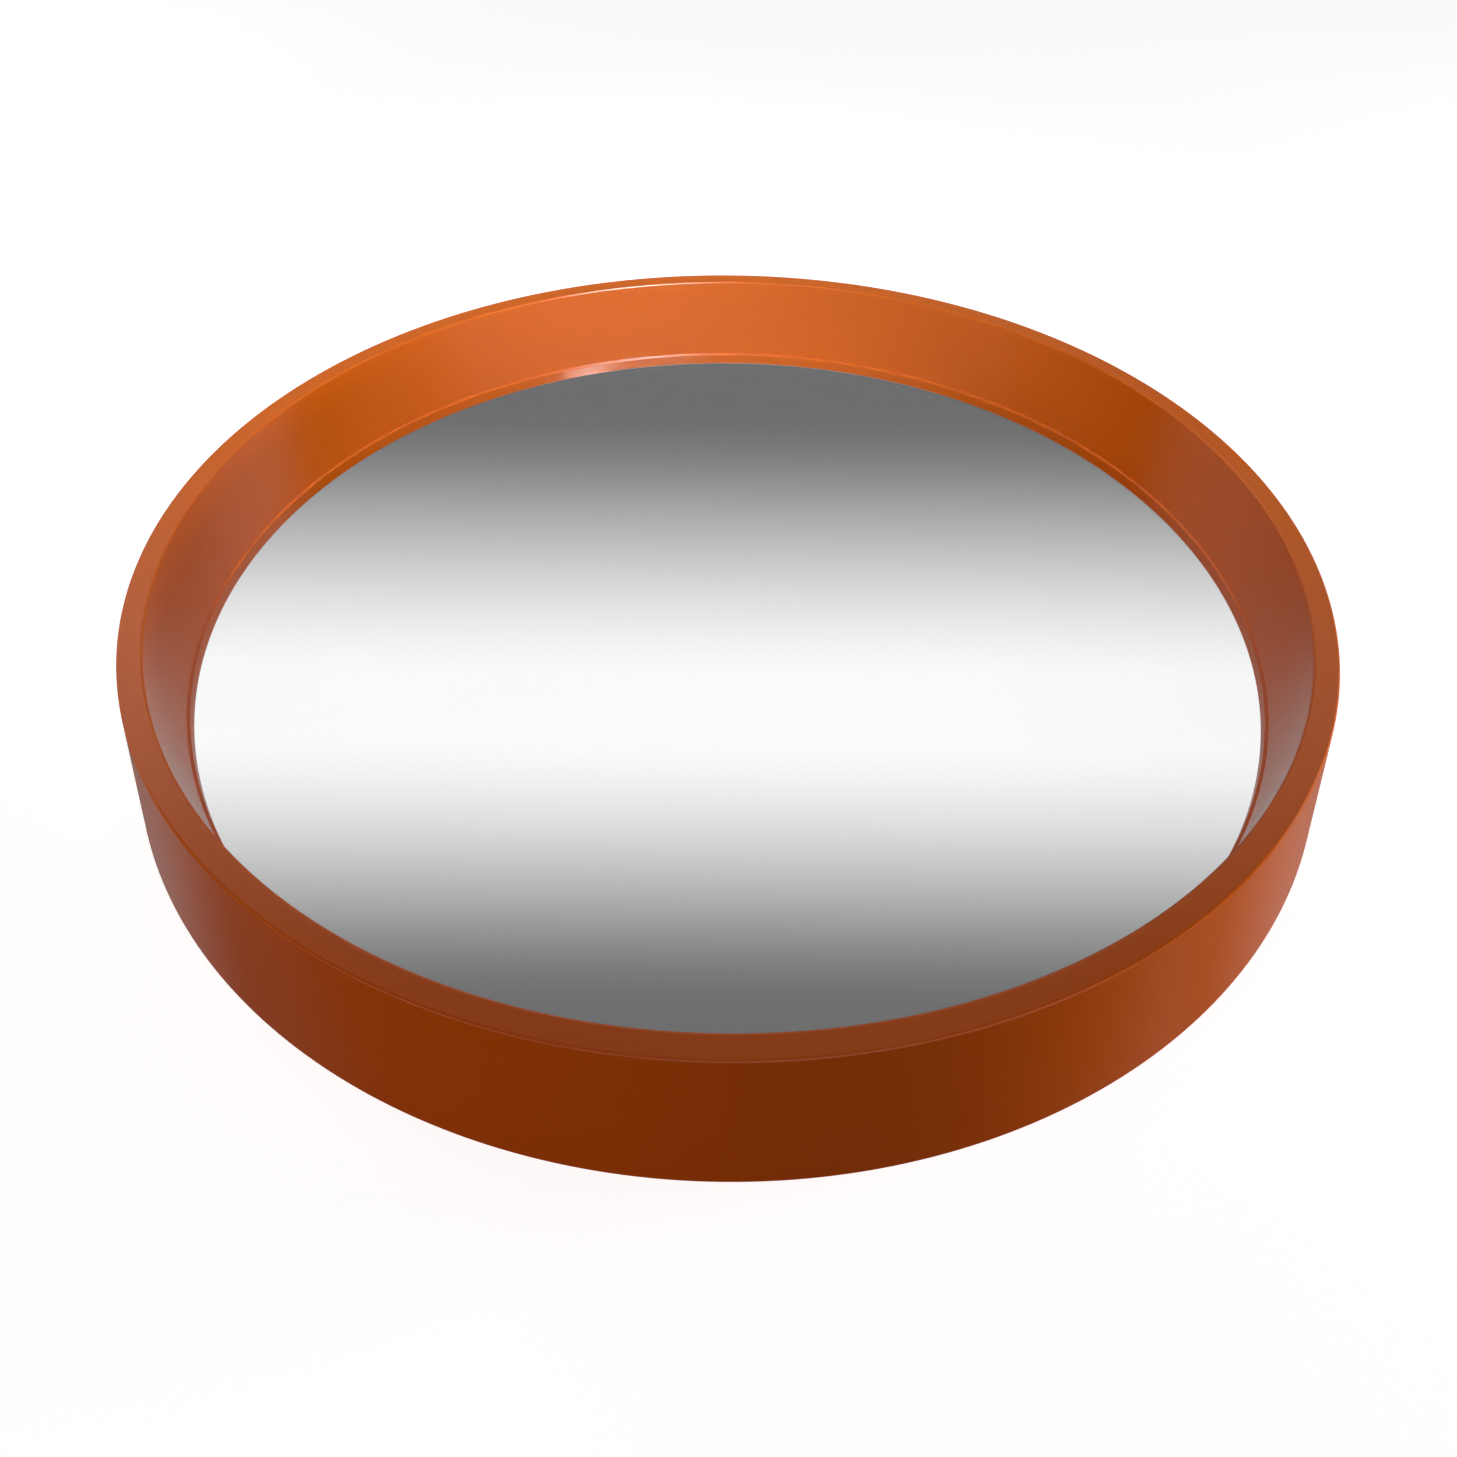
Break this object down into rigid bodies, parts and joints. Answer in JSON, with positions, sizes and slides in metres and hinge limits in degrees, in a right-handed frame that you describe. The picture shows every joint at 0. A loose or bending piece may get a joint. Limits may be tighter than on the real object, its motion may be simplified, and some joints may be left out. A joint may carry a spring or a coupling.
{
  "type": "round wall mirror",
  "caption": "Round mirror set deep in a glossy moulded plastic rim whose outer wall flares to the back, with a board back held by turn buttons and a wire hanging ring.",
  "frame": {"origin": "centre of the circle on which the rim's back edge rests, at z = 0", "axes": "+Z out of the front of the mirror, +Y towards its top when it hangs, +X to the right seen from the front"},
  "size_m": [0.5208, 0.5208, 0.058],
  "materials": {
    "orange_plastic": "glossy moulded ABS with a very faint mould texture",
    "clear_glass": "polished clear float glass",
    "silvering": "silvered, with grey lacquer on its back",
    "kraft_paper": "brown kraft paper",
    "hardboard": "pressed hardboard, matt, with a faint fibre mottle",
    "zinc_steel": "bright zinc plate, lightly dulled"
  },
  "bodies": {
    "mirror": {"frame_rim": "orange_plastic", "mirror_glass": "clear_glass", "silver_coat": "silvering", "cushion_sheet": "kraft_paper", "backing_board": "hardboard", "hanger_strap": "zinc_steel", "strap_rivets": "zinc_steel", "button_screws": "zinc_steel"},
    "ring": {"hanger_ring": "zinc_steel"},
    "button_1": {"turn_button_1": "zinc_steel"},
    "button_2": {"turn_button_2": "zinc_steel"},
    "button_3": {"turn_button_3": "zinc_steel"},
    "button_4": {"turn_button_4": "zinc_steel"},
    "button_5": {"turn_button_5": "zinc_steel"},
    "button_6": {"turn_button_6": "zinc_steel"}
  },
  "joints": [
    {"name": "ring_swing", "type": "hinge", "parent": "mirror", "child": "ring", "pos_m": [0, 0.215, 0.00215], "axis": [-1, 0, 0], "range_deg": [-5, 175]},
    {"name": "button_1_turn", "type": "hinge", "parent": "mirror", "child": "button_1", "pos_m": [0.2485, 0, 0.0033], "axis": [0, 0, 1], "range_deg": [-95, 95]},
    {"name": "button_2_turn", "type": "hinge", "parent": "mirror", "child": "button_2", "pos_m": [0.12425, 0.21521, 0.0033], "axis": [0, 0, 1], "range_deg": [-95, 95]},
    {"name": "button_3_turn", "type": "hinge", "parent": "mirror", "child": "button_3", "pos_m": [-0.12425, 0.21521, 0.0033], "axis": [0, 0, 1], "range_deg": [-95, 95]},
    {"name": "button_4_turn", "type": "hinge", "parent": "mirror", "child": "button_4", "pos_m": [-0.2485, 0, 0.0033], "axis": [0, 0, 1], "range_deg": [-95, 95]},
    {"name": "button_5_turn", "type": "hinge", "parent": "mirror", "child": "button_5", "pos_m": [-0.12425, -0.21521, 0.0033], "axis": [0, 0, 1], "range_deg": [-95, 95]},
    {"name": "button_6_turn", "type": "hinge", "parent": "mirror", "child": "button_6", "pos_m": [0.12425, -0.21521, 0.0033], "axis": [0, 0, 1], "range_deg": [-95, 95]}
  ]
}
